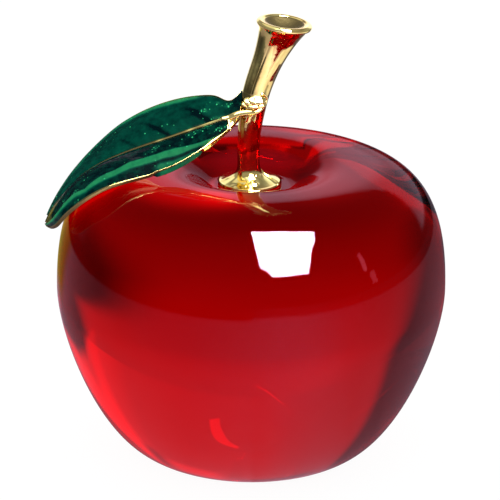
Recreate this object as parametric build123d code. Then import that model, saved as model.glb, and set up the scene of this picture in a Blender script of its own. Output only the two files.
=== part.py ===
from build123d import *
import os
from math import cos, pi, radians, sin

# Red crystal apple paperweight with a gilt stem and an enamelled gilt leaf.
# Millimetres, +Z up. The origin is the centre of the ground base, the apple's
# front looks towards -Y, and the leaf leaves the stem towards -X.

# Crystal body: base, widest ring, crest round the dimple, ground seat for the stem
base_radius = 22.0
base_bevel = 0.5
base_slope_angle = 14.5
glass_radius = 40.0
widest_height = 34.9
crest_radius = 20.0
crest_height = 60.8
dimple_depth = 4.4
seat_margin = 0.8

# How far each curve's handles reach, as shares of the width or height that it spans
base_handle_share = 0.545
waist_low_share = 0.28
waist_high_share = 0.81
crest_outer_share = 0.615
crest_inner_share = 0.67
seat_handle_share = 0.285

# Glue under the stem's foot
glue_film = 0.15

# Stem casting: foot disc, shaft that leans to +X, trumpet mouth with a shallow dish
stem_length = 34.3
foot_radius = 6.5
foot_thickness = 0.8
foot_edge_round = 0.3
foot_pocket_radius = 4.6
foot_pocket_depth = 0.5
foot_fall_power = 35
foot_shoulder = 0.2
shaft_radius = 1.62
shaft_growth = 1.95
mouth_flare = 1.85
mouth_power = 11
mouth_tilt_angle = 7.0
lip_radius = 0.65
lip_sink = 0.1
dish_radius = 4.2
dish_depth = 1.3
stem_foot_offset = -0.5
stem_bow = -1.6
stem_upper_bow = 0.25
stem_lean = 6.2
stem_shares = (0.0, 0.02, 0.045, 0.08, 0.13, 0.2, 0.3, 0.4, 0.5, 0.6, 0.7, 0.78, 0.85, 0.91, 0.96, 1.0)

# Petiole clasp round the shaft's front, and the solder under it
clasp_rise = 13.6
clasp_height = 4.0
clasp_wall = 0.35
clasp_bulge = 0.55
clasp_back_reach = 0.8
solder_film = 0.12

# Leaf casting: midrib from the clasp to the tip, blade, rim and trays for the enamel
leaf_root_inset = 0.85
leaf_root_forward = 2.2
leaf_root_drop = 2.2
leaf_overhang = 1.6
leaf_tip_height_share = 0.56
leaf_forward = 2.8
midrib_reach_shares = (0.604, 0.842)
midrib_fall_shares = (0.385, 0.352)
leaf_half_width = 12.3
leaf_root_power = 0.9
leaf_tip_power = 0.75
far_root_width = 3.3
near_root_width = 1.1
root_fall_power = 3
neck_width = 2.9
neck_power = 50
neck_sweep_share = 0.45
far_bank_angles = (54.0, 40.0, -14.0, -7.0)
near_bank_angles = (68.0, 20.0, -20.0, 39.0)
bank_power = 0.8
blade_bulge_share = 0.09
blade_back = 0.85
rim_width = 0.7
rim_height = 0.45
midrib_width = 0.7
midrib_lap_share = 0.35
enamel_thickness = 0.36
enamel_fit = 0.03
tray_root_share = 0.02
tray_tip_share = 0.965
leaf_tip_share = 0.996
leaf_stations = 20
blade_columns = 7

# Cuts run past their faces by this much
overrun = 1.0

# The leaf's two halves: far is +1 and near is -1
far, near = 1, -1
sides = (far, near)

# Heights that follow from the sizes above
seat_height = crest_height - dimple_depth
seat_radius = foot_radius + seat_margin
stem_base = seat_height + glue_film
neck_base = stem_base + foot_thickness
neck_length = stem_length - foot_thickness
clasp_height_share = (crest_height + clasp_rise - neck_base) / neck_length
leaf_tip_height = widest_height + leaf_tip_height_share * (crest_height - widest_height)


def bezier_value(values, share):
    """Value of a cubic Bezier curve with the four given control values."""
    rest = 1 - share
    first, second, third, last = values
    return (
        rest**3 * first
        + 3 * rest**2 * share * second
        + 3 * rest * share**2 * third
        + share**3 * last
    )


def bezier_slope(values, share):
    """Slope of the same curve along its share."""
    rest = 1 - share
    first, second, third, last = values
    return 3 * (
        rest**2 * (second - first) + 2 * rest * share * (third - second) + share**2 * (last - third)
    )


def glass_body():
    """Solid crystal turned about Z: flat base, two flanks, crest and dimple with a flat seat."""
    slope = radians(base_slope_angle)
    base_handle = base_handle_share * (glass_radius - base_radius)
    shoulder_rise = crest_height - widest_height
    dimple_width = crest_radius - seat_radius
    flank = Bezier(
        (base_radius, 0),
        (base_radius + base_handle * cos(slope), base_handle * sin(slope)),
        (glass_radius, widest_height * (1 - waist_low_share)),
        (glass_radius, widest_height),
    )
    shoulder = Bezier(
        (glass_radius, widest_height),
        (glass_radius, widest_height + waist_high_share * shoulder_rise),
        (crest_radius + crest_outer_share * (glass_radius - crest_radius), crest_height),
        (crest_radius, crest_height),
    )
    dimple = Bezier(
        (crest_radius, crest_height),
        (crest_radius - crest_inner_share * dimple_width, crest_height),
        (seat_radius + seat_handle_share * dimple_width, seat_height),
        (seat_radius, seat_height),
    )
    closing = Polyline((seat_radius, seat_height), (0, seat_height), (0, 0), (base_radius, 0))
    outline = make_face(Plane.XZ * (flank + shoulder + dimple + closing))
    body = revolve(outline, Axis.Z)
    rim = body.edges().group_by(Axis.Z)[0]
    return chamfer(rim, base_bevel)


def stem_plane(share):
    """Cross-section plane of the shaft, from the foot's top (0) to the mouth (1)."""
    along = bezier_value((stem_foot_offset, stem_bow, stem_upper_bow, stem_lean), share)
    height = neck_base + neck_length * share
    tilt = radians(mouth_tilt_angle) * share**3
    return Plane(
        origin=(along, 0, height), x_dir=(cos(tilt), 0, -sin(tilt)), z_dir=(sin(tilt), 0, cos(tilt))
    )


def stem_radius(share):
    """Radius of the shaft: a slow taper with a flare at each end."""
    foot_flare = foot_radius - foot_shoulder - shaft_radius
    return (
        shaft_radius
        + shaft_growth * share
        + mouth_flare * share**mouth_power
        + foot_flare * (1 - share) ** foot_fall_power
    )


def shaft_loft(shares, skins):
    """Loft through round sections of the shaft, each grown by its skin."""
    rings = []
    for share, skin in zip(shares, skins):
        rings.append(stem_plane(share) * Circle(stem_radius(share) + skin))
    return loft(rings)


def shaft(skin=0):
    """Whole shaft, grown all round by a skin."""
    return shaft_loft(stem_shares, [skin] * len(stem_shares))


def stem():
    """Gilt casting: foot disc with a glue pocket, leaning shaft, trumpet mouth with a dish."""
    foot = Pos(stem_foot_offset, 0, stem_base) * Cylinder(
        foot_radius, foot_thickness, align=(Align.CENTER, Align.CENTER, Align.MIN)
    )
    foot = fillet(foot.edges().group_by(Axis.Z)[-1], foot_edge_round)
    body = foot + shaft()
    bead_path_radius = stem_radius(1) - lip_radius
    body += stem_plane(1) * Pos(0, 0, lip_sink - lip_radius) * Torus(bead_path_radius, lip_radius)
    ball_radius = (dish_radius**2 + dish_depth**2) / (2 * dish_depth)
    body -= stem_plane(1) * Pos(0, 0, ball_radius - dish_depth) * Sphere(ball_radius)
    return body - glue_pocket()


def glue_pocket():
    """Round hollow in the underside of the foot, which the glue fills."""
    return Pos(stem_foot_offset, 0, stem_base) * Cylinder(
        foot_pocket_radius, foot_pocket_depth, align=(Align.CENTER, Align.CENTER, Align.MIN)
    )


def stem_glue():
    """Cured glue: a film between foot and seat, with the plug that fills the pocket."""
    film = Pos(stem_foot_offset, 0, seat_height) * Cylinder(
        foot_radius - foot_edge_round, glue_film, align=(Align.CENTER, Align.CENTER, Align.MIN)
    )
    return film + glue_pocket()


def front_band(ring):
    """Keeps the front of a ring round the shaft, over the clasp's height."""
    reach = 2 * foot_radius
    middle = stem_plane(clasp_height_share).origin.Z
    keep = Pos(0, clasp_back_reach, middle) * Box(
        2 * reach, reach, clasp_height, align=(Align.CENTER, Align.MAX, Align.CENTER)
    )
    return ring & keep


def clasp():
    """Gilt band that bulges round the front of the shaft, solid to the shaft's middle."""
    half = (clasp_height / 2 + overrun) / neck_length
    shares = (clasp_height_share - half, clasp_height_share, clasp_height_share + half)
    edge_skin = solder_film + clasp_wall
    return front_band(shaft_loft(shares, (edge_skin, edge_skin + clasp_bulge, edge_skin)))


def clasp_solder():
    """Solder film between the shaft and the clasp."""
    return front_band(shaft(solder_film)) - shaft()


def leaf_root():
    """Start of the midrib, just inside the clasp's front left."""
    plane = stem_plane(clasp_height_share)
    side = stem_radius(clasp_height_share) + solder_film + clasp_wall + clasp_bulge - leaf_root_inset
    return Vector(plane.origin.X - side, -leaf_root_forward, plane.origin.Z - leaf_root_drop)


def midrib(share):
    """Point of the midrib and its unit tangent, from the root (0) to the tip (1)."""
    root = leaf_root()
    leaf_reach = glass_radius + leaf_overhang + root.X
    leaf_fall = root.Z - leaf_tip_height
    reach = (0, *(leaf_reach * value for value in midrib_reach_shares), leaf_reach)
    fall = (0, *(leaf_fall * value for value in midrib_fall_shares), leaf_fall)
    point = root + Vector(
        -bezier_value(reach, share), -leaf_forward * share, -bezier_value(fall, share)
    )
    tangent = Vector(-bezier_slope(reach, share), -leaf_forward, -bezier_slope(fall, share))
    return point, tangent.normalized()


def half_width(share, side):
    """Half width of the blade: a lens that keeps some width at the root, where the far side has a neck."""
    peak_share = leaf_root_power / (leaf_root_power + leaf_tip_power)
    peak = peak_share**leaf_root_power * (1 - peak_share) ** leaf_tip_power
    lens = share**leaf_root_power * (1 - share) ** leaf_tip_power / peak
    root_width = far_root_width if side == far else near_root_width
    return leaf_half_width * lens + root_width * (1 - share) ** root_fall_power + neck(share, side)


def neck(share, side):
    """Extra width of the far side where it climbs the shaft."""
    return neck_width * (1 - share) ** neck_power if side == far else 0


def blade_point(share, across, height, side):
    """Point on one half of the blade: across runs from the midrib (0) to the margin (1)."""
    point, tangent = midrib(share)
    far_lean = radians(bezier_value(far_bank_angles, share**bank_power))
    near_lean = radians(bezier_value(near_bank_angles, share**bank_power))
    lean = far_lean if side == far else near_lean
    mean = (far_lean + near_lean) / 2
    width = half_width(share, side)
    outward = Vector(0, side * cos(lean), side * sin(lean))
    sweep = Vector(neck_sweep_share * neck(share, side), 0, 0)
    upward = Vector(0, cos(mean), sin(mean)).cross(tangent).normalized()
    bulge = 4 * blade_bulge_share * width * across * (1 - across)
    return point + (outward * width + sweep) * across + upward * (bulge + height)


def leaf_skin(side, low, high, start_share, end_share, inner_gap, outer_gap):
    """Closed solid between two heights over one half of the blade, inset from midrib and margin."""
    surfaces = []
    for height in (low, high):
        rows = []
        for station in range(leaf_stations):
            crowded = (1 - cos(pi * station / (leaf_stations - 1))) / 2
            share = start_share + (end_share - start_share) * crowded
            first = inner_gap / half_width(share, side)
            last = 1 - outer_gap / half_width(share, side)
            row = []
            for column in range(blade_columns):
                across = first + (last - first) * column / (blade_columns - 1)
                row.append(blade_point(share, across, height, side))
            rows.append(row)
        surfaces.append(Face.make_surface_from_array_of_points(rows))
    bottom, top = surfaces
    walls = []
    for edge in bottom.edges():
        partner = top.edges().sort_by_distance(edge @ 0.5)[0]
        walls.append(Face.make_surface_from_curves(edge, partner))
    return Solid(Shell([bottom, top, *walls]))


def blade_half(side):
    """One half of the blade, a little past the midrib, with its tray cut into the top."""
    lap = -midrib_width * midrib_lap_share
    half = leaf_skin(side, -blade_back, rim_height, 0, leaf_tip_share, lap, 0)
    tray = leaf_skin(
        side, 0, rim_height + overrun, tray_root_share, tray_tip_share, midrib_width / 2, rim_width
    )
    return half - tray


def leaf_frame():
    """Gilt casting: both halves of the blade and the clasp, bored for the shaft."""
    frame = clasp()
    for side in sides:
        frame += blade_half(side)
    return frame - shaft(solder_film)


def enamel(side):
    """Fired enamel that fills one tray to just below the rim."""
    inner_gap = midrib_width / 2 + enamel_fit
    outer_gap = rim_width + enamel_fit
    return leaf_skin(
        side, enamel_fit, enamel_thickness, tray_root_share, tray_tip_share, inner_gap, outer_gap
    )


def write_parts():
    """Writes each piece to its own file."""
    pieces = {
        "glass_body": glass_body(),
        "stem_glue": stem_glue(),
        "stem": stem(),
        "clasp_solder": clasp_solder(),
        "leaf_frame": leaf_frame(),
        "far_enamel": enamel(far),
        "near_enamel": enamel(near),
    }
    os.makedirs("parts", exist_ok=True)
    for name, shape in pieces.items():
        export_step(shape, f"parts/{name}.step")


write_parts()
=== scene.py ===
import math
import bpy
import numpy as np
from mathutils import Matrix, Vector

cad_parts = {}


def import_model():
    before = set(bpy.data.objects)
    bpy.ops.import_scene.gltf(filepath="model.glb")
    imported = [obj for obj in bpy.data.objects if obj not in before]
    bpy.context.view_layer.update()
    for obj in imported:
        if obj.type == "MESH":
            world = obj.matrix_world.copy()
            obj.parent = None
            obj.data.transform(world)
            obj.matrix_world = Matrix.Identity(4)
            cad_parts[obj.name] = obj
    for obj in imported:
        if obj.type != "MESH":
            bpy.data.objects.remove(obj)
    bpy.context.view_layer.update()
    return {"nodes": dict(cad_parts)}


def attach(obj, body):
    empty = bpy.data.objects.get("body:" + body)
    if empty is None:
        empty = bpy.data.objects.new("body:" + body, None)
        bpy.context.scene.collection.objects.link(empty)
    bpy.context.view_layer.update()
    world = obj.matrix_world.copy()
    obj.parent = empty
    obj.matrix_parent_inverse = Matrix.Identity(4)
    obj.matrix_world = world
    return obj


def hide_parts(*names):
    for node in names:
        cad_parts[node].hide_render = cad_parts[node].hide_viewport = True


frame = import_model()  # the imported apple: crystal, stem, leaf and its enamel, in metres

mm = 0.001
tau = 2 * math.pi


# ---- shared curves and meshes

def bezier(values, t):
    # cubic Bezier through four control values, at every share t of an array
    a, b, c, d = values
    s = 1 - t
    return s**3 * a + 3 * s**2 * t * b + 3 * s * t**2 * c + t**3 * d


def bezierSlope(values, t):
    # how fast the same curve changes with t
    a, b, c, d = values
    s = 1 - t
    return 3 * (s**2 * (b - a) + 2 * s * t * (c - b) + t**2 * (d - c))


def smoothStep(low, high, value):
    # 0 below low, 1 above high, an S-shaped ramp between
    t = np.clip((value - low) / (high - low), 0, 1)
    return t * t * (3 - 2 * t)


def hump(value, middle, half):
    # a bell that is 1 at middle and fades to nothing a little past half on each side
    return np.exp(-((value - middle) / half) ** 2)


def between(value, low, high, soft):
    # 1 inside low..high, 0 outside, with soft edges
    return smoothStep(low - soft, low + soft, value) * (1 - smoothStep(high - soft, high + soft, value))


def unit(v):
    # each vector divided by its own length
    return v / np.linalg.norm(v, axis=-1, keepdims=True)


def gridFaces(rows, cols, wrap):
    # one four-sided face per cell of the grid; wrap joins the last column to the first
    r = np.arange(rows - 1)[:, None]
    c = np.arange(cols if wrap else cols - 1)[None, :]
    n = (c + 1) % cols
    return np.stack(np.broadcast_arrays(r * cols + c, r * cols + n, (r + 1) * cols + n, (r + 1) * cols + c), -1).reshape(-1, 4)


def makePiece(name, shells, material, replaces=(), poles=(None, None), attributes=None, flip=False):
    # one closed skin per grid: its columns run round, and each end is shut by a fan to its pole
    if not isinstance(shells, list):
        shells = [shells]
    points, faces, total = [], [], 0
    for grid in shells:
        rows, cols = grid.shape[:2]
        c = np.arange(cols)
        n = (c + 1) % cols
        body, ends = gridFaces(rows, cols, True), []
        fans = []
        for pole, row, turn in ((poles[0], 0, True), (poles[1], rows - 1, False)):
            index = rows * cols + len(ends)
            ends.append(grid[row].mean(0) if pole is None else np.array(pole))
            ring = np.stack([row * cols + c, row * cols + n, np.full(cols, index)], -1)
            fans.append(ring[:, ::-1] if turn else ring)
        faces += (body + total).tolist() + (fans[0] + total).tolist() + (fans[1] + total).tolist()
        points += [grid.reshape(-1, 3), np.array(ends)]
        total += rows * cols + 2
    if flip:
        faces = [f[::-1] for f in faces]
    mesh = bpy.data.meshes.new(name)
    mesh.from_pydata((np.vstack(points) * mm).tolist(), [], faces)
    mesh.polygons.foreach_set("use_smooth", np.ones(len(mesh.polygons), bool))
    for key, values in (attributes or {}).items():
        whole = np.concatenate([values.reshape(-1), [values[0].mean(), values[-1].mean()]])
        mesh.attributes.new(key, "FLOAT", "POINT").data.foreach_set("value", whole.astype(np.float32))
    mesh.update()
    piece = bpy.data.objects.new(name, mesh)
    bpy.context.scene.collection.objects.link(piece)
    mesh.materials.append(material)
    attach(piece, "root")
    if replaces:
        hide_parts(*replaces)
    print("made", name, len(mesh.vertices), "points")
    return piece


def smoothPath(points, count):
    # Catmull-Rom curve through the rows of points, count places evenly along its parameter
    points = np.array(points, float)
    padded = np.vstack([2 * points[0] - points[1], points, 2 * points[-1] - points[-2]])
    at = np.linspace(0, len(points) - 1, count)
    i = np.minimum(at.astype(int), len(points) - 2)
    f = (at - i)[:, None]
    a, b, c, d = padded[i], padded[i + 1], padded[i + 2], padded[i + 3]
    return 0.5 * (2 * b + (c - a) * f + (2 * a - 5 * b + 4 * c - d) * f**2 + (3 * b - a - 3 * c + d) * f**3)


def wireShell(path, facing, flat=1.0, turns=20):
    # a wire along path rows (x, y, z, radius), its ends rounded off; facing gives the axis flattened by the given factor
    centre, radius = path[:, :3], path[:, 3]
    along = unit(np.gradient(centre, axis=0))
    first = unit(facing - (facing * along).sum(-1, keepdims=True) * along)
    second = np.cross(along, first)
    far = np.concatenate([[0], np.cumsum(np.linalg.norm(np.diff(centre, axis=0), axis=1))])
    gap = np.minimum(far, far[-1] - far)
    end = np.sqrt(np.clip(1 - np.clip(1 - gap / radius, 0, 1) ** 2, 0.002, 1))
    v = np.arange(turns) / turns * tau
    ring = (radius * end)[:, None, None] * (flat * first[:, None] * np.cos(v)[:, None] + second[:, None] * np.sin(v)[:, None])
    return centre[:, None] + ring


def pebbleShell(centre, axes, waves=0.1, rows=24, turns=36):
    # an ellipsoid with three half axes (right-handed), its radius waved by a few sines
    lat = np.linspace(-0.48, 0.48, rows)[:, None] * math.pi
    lon = (np.arange(turns) / turns * tau)[None, :]
    wave = 1 + waves * (np.sin(3 * lon + 2 * lat) * np.cos(lat) + 0.6 * np.sin(5 * lon - 4 * lat + 1) * np.cos(lat) + 0.4 * np.sin(7 * lat))
    a, b, c = np.array(axes, float)
    shape = np.cos(lat)[..., None] * (np.cos(lon)[..., None] * a + np.sin(lon)[..., None] * b) + np.sin(lat)[..., None] * np.ones_like(lon)[..., None] * c
    return np.array(centre) + wave[..., None] * shape


# ---- materials

def newMaterial(name):
    # an empty node tree with a Principled shader on its output
    mat = bpy.data.materials.new(name)
    mat.use_nodes = True
    nodes = mat.node_tree.nodes
    return mat, nodes, mat.node_tree.links, nodes["Principled BSDF"]


def noiseNode(nodes, links, coords, scale, detail=2.0, rough=0.5):
    noise = nodes.new("ShaderNodeTexNoise")
    noise.inputs["Scale"].default_value = scale
    noise.inputs["Detail"].default_value = detail
    noise.inputs["Roughness"].default_value = rough
    links.new(coords, noise.inputs["Vector"])
    return noise


def ramp(nodes, links, source, stops):
    # colour ramp from (place, grey or colour) pairs
    node = nodes.new("ShaderNodeValToRGB")
    elements = node.color_ramp.elements
    while len(elements) < len(stops):
        elements.new(0.5)
    for element, (place, colour) in zip(elements, stops):
        element.position = place
        element.color = (*colour, 1) if isinstance(colour, tuple) else (colour, colour, colour, 1)
    links.new(source, node.inputs["Fac"])
    return node.outputs["Color"]


def bumpNode(nodes, links, source, strength, distance, target):
    bump = nodes.new("ShaderNodeBump")
    bump.inputs["Strength"].default_value = strength
    bump.inputs["Distance"].default_value = distance
    links.new(source, bump.inputs["Height"])
    links.new(bump.outputs["Normal"], target)
    return bump


crystalLook = {
    "ior": 1.52,
    "absorb": (0.974, 0.10, 0.24),  # what each density length lets by
    "density": 150.0,              # per metre
    "sheen": (0.24, 0.20, 0.27),   # how much of a plain glass's mirror strength it keeps
    "ripple": 0.02,                # how much the polished skin waves
}


def crystalMaterial():
    mat, nodes, links, shader = newMaterial("red crystal")
    coords = nodes.new("ShaderNodeTexCoord").outputs["Object"]
    shader.inputs["Base Color"].default_value = (1, 1, 1, 1)
    shader.inputs["Roughness"].default_value = 0.0
    shader.inputs["IOR"].default_value = crystalLook["ior"]
    shader.inputs["Transmission Weight"].default_value = 1.0
    shader.inputs["Specular Tint"].default_value = (*crystalLook["sheen"], 1)
    ripple = noiseNode(nodes, links, coords, 18, 1.0)
    bumpNode(nodes, links, ripple.outputs["Fac"], crystalLook["ripple"], 0.002, shader.inputs["Normal"])
    dye = nodes.new("ShaderNodeVolumeAbsorption")
    dye.inputs["Color"].default_value = (*crystalLook["absorb"], 1)
    dye.inputs["Density"].default_value = crystalLook["density"]
    links.new(dye.outputs["Volume"], nodes["Material Output"].inputs["Volume"])
    return mat


goldLook = {
    "bright": (0.93, 0.80, 0.30),
    "worn": (0.82, 0.60, 0.21),
    "dullShade": (0.085, 0.065, 0.026),   # painted shade: darkens the metal where it is also made rough, most in the dish inside the mouth and along the near margin, a little on the foot
    # the brown laid in the shaft's grooves, along the midrib and along the near margin is painted shade and dark
    # reflection; the solder is mostly this brown
    "brownAndShade": (0.19, 0.15, 0.055),
    "polish": 0.045,
}


def goldMaterial(name, grain=1.0, brownness=0.0):
    # polished gilding, clouded and dented a little; a piece's "rough" attribute makes it rougher and darkens it with
    # painted shade, and its brown attribute lays in brown painted shade and dark reflection; brownness adds the same
    # brown all over
    mat, nodes, links, shader = newMaterial(name)
    coords = nodes.new("ShaderNodeTexCoord").outputs["Object"]
    cloud = noiseNode(nodes, links, coords, 300, 3.0)
    colour = ramp(nodes, links, cloud.outputs["Fac"], [(0.35, goldLook["worn"]), (0.62, goldLook["bright"])])
    rough = nodes.new("ShaderNodeAttribute")
    rough.attribute_name = "rough"
    mix = nodes.new("ShaderNodeMix")
    mix.data_type = "RGBA"
    links.new(rough.outputs["Fac"], mix.inputs["Factor"])
    links.new(colour, mix.inputs["A"])
    mix.inputs["B"].default_value = (*goldLook["dullShade"], 1)
    brownAndShade = nodes.new("ShaderNodeAttribute")
    brownAndShade.attribute_name = "brownAndShade"
    brown = nodes.new("ShaderNodeMix")
    brown.data_type = "RGBA"
    brownShare = nodes.new("ShaderNodeMath")
    links.new(brownAndShade.outputs["Fac"], brownShare.inputs[0])
    brownShare.inputs[1].default_value = brownness
    links.new(brownShare.outputs[0], brown.inputs["Factor"])
    links.new(mix.outputs["Result"], brown.inputs["A"])
    brown.inputs["B"].default_value = (*goldLook["brownAndShade"], 1)
    links.new(brown.outputs["Result"], shader.inputs["Base Color"])
    shader.inputs["Metallic"].default_value = 1.0
    smear = nodes.new("ShaderNodeMapRange")
    smear.inputs["To Min"].default_value = goldLook["polish"]
    smear.inputs["To Max"].default_value = 0.6
    links.new(rough.outputs["Fac"], smear.inputs["Value"])
    links.new(smear.outputs["Result"], shader.inputs["Roughness"])
    dents = noiseNode(nodes, links, coords, 420, 2.0)
    depth = nodes.new("ShaderNodeMapRange")
    depth.inputs["To Min"].default_value = 0.05 * grain
    depth.inputs["To Max"].default_value = 0.45 * grain
    links.new(rough.outputs["Fac"], depth.inputs["Value"])
    bump = bumpNode(nodes, links, dents.outputs["Fac"], 0.1, 0.0006, shader.inputs["Normal"])
    links.new(depth.outputs["Result"], bump.inputs["Strength"])
    # where "lift" is painted the facets look a little higher up: normal plus lift, straight up, made unit again
    lift = nodes.new("ShaderNodeAttribute")
    lift.attribute_name = "lift"
    upwards = nodes.new("ShaderNodeCombineXYZ")
    links.new(lift.outputs["Fac"], upwards.inputs["Z"])
    lean = nodes.new("ShaderNodeVectorMath")
    links.new(nodes.new("ShaderNodeNewGeometry").outputs["Normal"], lean.inputs[0])
    links.new(upwards.outputs[0], lean.inputs[1])
    short = nodes.new("ShaderNodeVectorMath")
    short.operation = "NORMALIZE"
    links.new(lean.outputs[0], short.inputs[0])
    links.new(short.outputs[0], bump.inputs["Normal"])
    return mat


enamelLook = {
    # greens from the darkest to the palest; named for the glaze's depth, they are used to paint light and shade over
    # the leaf's relief; spark is the painted glints' colour
    "groove": (0.000, 0.010, 0.012),
    "deep": (0.000, 0.036, 0.026),
    "middle": (0.001, 0.090, 0.055),
    "thin": (0.020, 0.290, 0.110),
    "spark": (0.060, 0.80, 0.30),
    "glintDots": 2900,
}


def enamelMaterial():
    # translucent glaze over struck metal: its tone attribute, with a random mottle, picks a green from dark to pale and
    # so paints the light and shade over the leaf's relief; bright dots are painted glints, gathered where the
    # painted-glint spots lie
    mat, nodes, links, shader = newMaterial("green enamel")
    coords = nodes.new("ShaderNodeTexCoord").outputs["Object"]

    def attribute(name):
        node = nodes.new("ShaderNodeAttribute")
        node.attribute_name = name
        return node.outputs["Fac"]

    def combine(kind, a, b):
        node = nodes.new("ShaderNodeMath")
        node.operation = kind
        for socket, value in zip(node.inputs, (a, b)):
            if isinstance(value, float):
                socket.default_value = value
            else:
                links.new(value, socket)
        return node.outputs[0]

    cloud = noiseNode(nodes, links, coords, 620, 4.0, 0.65)
    mottle = combine("MULTIPLY", combine("SUBTRACT", cloud.outputs["Fac"], 0.5), 0.8)
    tone = combine("ADD", attribute("tone"), mottle)
    colour = ramp(nodes, links, tone, [(0.0, enamelLook["groove"]), (0.14, enamelLook["deep"]), (0.48, enamelLook["middle"]), (1.0, enamelLook["thin"])])
    # painted glints: a bright dot in some of the cells, in more of them where the painted-glint spots lie
    glintDots = nodes.new("ShaderNodeTexVoronoi")
    glintDots.inputs["Scale"].default_value = enamelLook["glintDots"]
    links.new(coords, glintDots.inputs["Vector"])
    split = nodes.new("ShaderNodeSeparateColor")
    links.new(glintDots.outputs["Color"], split.inputs["Color"])
    chosen = ramp(nodes, links, combine("ADD", split.outputs[0], combine("MULTIPLY", attribute("paintedGlints"), 0.5)), [(0.985, 0.0), (1.03, 1.0)])
    dot = ramp(nodes, links, glintDots.outputs["Distance"], [(0.25, 1.0), (0.6, 0.0)])
    mix = nodes.new("ShaderNodeMix")
    mix.data_type = "RGBA"
    links.new(combine("MULTIPLY", chosen, dot), mix.inputs["Factor"])
    links.new(colour, mix.inputs["A"])
    mix.inputs["B"].default_value = (*enamelLook["spark"], 1)
    links.new(mix.outputs["Result"], shader.inputs["Base Color"])
    shader.inputs["Metallic"].default_value = 0.0
    shader.inputs["Roughness"].default_value = 0.4
    shader.inputs["Specular IOR Level"].default_value = 0.0
    shader.inputs["Coat Weight"].default_value = 0.7
    shader.inputs["Coat Roughness"].default_value = 0.03
    cast = noiseNode(nodes, links, coords, 500, 2.0)
    bumpNode(nodes, links, cast.outputs["Fac"], 0.2, 0.0004, shader.inputs["Coat Normal"])
    return mat


# ---- crystal body

crystal = {
    "baseRadius": 22.0, "baseBevel": 0.5, "baseSlope": 14.5,
    "radius": 40.0, "widest": 34.9,
    "crestRadius": 20.0, "crest": 60.8, "dimple": 4.4, "seatRadius": 7.3,
    "baseHandle": 0.545, "waistLow": 0.28, "waistHigh": 0.81,
    "crestOuter": 0.615, "crestInner": 0.67, "seatHandle": 0.285,
    "turns": 288, "skin": 0.03,
}


def crystalProfile():
    # radius and height from the base's middle to the seat's middle: flat base, bevel, three Bezier
    # curves for flank, shoulder and dimple, flat seat; all a hair inside the CAD solid
    k = crystal
    slope = math.radians(k["baseSlope"])
    reach = k["baseHandle"] * (k["radius"] - k["baseRadius"])
    rise = k["crest"] - k["widest"]
    wide = k["crestRadius"] - k["seatRadius"]
    seat = k["crest"] - k["dimple"]
    t = np.linspace(0, 1, 61)
    flank = (
        bezier((k["baseRadius"], k["baseRadius"] + reach * math.cos(slope), k["radius"], k["radius"]), t),
        bezier((0, reach * math.sin(slope), k["widest"] * (1 - k["waistLow"]), k["widest"]), t),
    )
    shoulder = (
        bezier((k["radius"], k["radius"], k["crestRadius"] + k["crestOuter"] * (k["radius"] - k["crestRadius"]), k["crestRadius"]), t),
        bezier((k["widest"], k["widest"] + k["waistHigh"] * rise, k["crest"], k["crest"]), t),
    )
    dip = (
        bezier((k["crestRadius"], k["crestRadius"] - k["crestInner"] * wide, k["seatRadius"] + k["seatHandle"] * wide, k["seatRadius"]), t),
        bezier((k["crest"], k["crest"], seat, seat), t),
    )
    bevel = k["baseBevel"]
    keep = flank[1] > bevel * 0.75
    r = np.concatenate([
        np.linspace(2, k["baseRadius"] - bevel - 0.6, 8), [k["baseRadius"] - bevel - 0.15, k["baseRadius"] - bevel],
        [k["baseRadius"] + bevel * 0.25, k["baseRadius"] + bevel], flank[0][keep], shoulder[0][1:], dip[0][1:], np.linspace(k["seatRadius"], 1, 6)[1:],
    ])
    z = np.concatenate([
        np.zeros(10), [bevel * 0.15, bevel * 0.35], flank[1][keep], shoulder[1][1:], dip[1][1:], np.full(5, seat),
    ])
    return r * (1 - k["skin"] / k["radius"]), z


def crystalBody():
    # the profile turned once round Z
    r, z = crystalProfile()
    v = np.arange(crystal["turns"]) / crystal["turns"] * tau
    grid = np.stack([r[:, None] * np.cos(v), r[:, None] * np.sin(v), np.broadcast_to(z[:, None], (len(z), len(v)))], -1)
    poles = ((0, 0, 0), (0, 0, z[-1]))
    return makePiece("crystalBody", grid, crystalMaterial(), ["glass_body"], poles)


# ---- stem casting

stem = {
    "lift": 0.3,
    "base": 56.55, "footRadius": 6.5, "footThick": 0.8, "footRound": 0.3,
    "pocketRadius": 4.6, "pocketDepth": 0.5,
    "length": 33.5, "shaft": 1.62, "growth": 1.95, "flare": 1.85, "flarePower": 11,
    "footFall": 35, "footShoulder": 0.2, "tilt": 7.0,
    "path": (-0.5, -1.6, 0.25, 6.2),
    "lip": 0.65, "lipWide": 0.78, "lipSink": 0.1, "dishRadius": 3.95, "dishDepth": 1.5,
    "swell": 0.14, "lowSwell": 0.35, "bow": 0.45, "turns": 288,
    # grooves down the shaft: degrees from the front at the clasp, turn by the mouth, half width, depth, and how much
    # brown painted shade and dark reflection lies in them
    "grooves": ((-44, -14, 10, 0.030, 0.65), (-22, 0, 3.5, 0.012, 0.2), (30, 8, 5, 0.010, 0.12), (72, -6, 8, 0.02, 0.7), (128, 10, 8, 0.03, 0.6), (-100, -10, 7, 0.025, 0.5), (-160, 12, 6, 0.02, 0.6)),
    "waves": 0.012,
    "lumps": ((-1.6, -3.6, 0.8, -0.15), (-3.4, -2.6, 1.1, 0.2), (-4.6, -0.8, 0.8, 0.2), (-3.0, -4.6, 0.8, 0.15), (-1.0, -5.2, 0.7, -0.1)),  # on the foot
    "blobs": ((0.2, -1.85, 58.45, 1.8, 1.55, 0.8), (0.35, -4.25, 57.3, 1.5, 1.3, 0.6), (-1.2, -4.9, 57.2, 0.7, 0.6, 0.3)), "blobFacing": (10.0, 40.0),
    "creaseInner": 4.0, "creaseOuter": -22.0, "creaseRise": 0.22, "creaseDip": 0.14,
}


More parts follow.
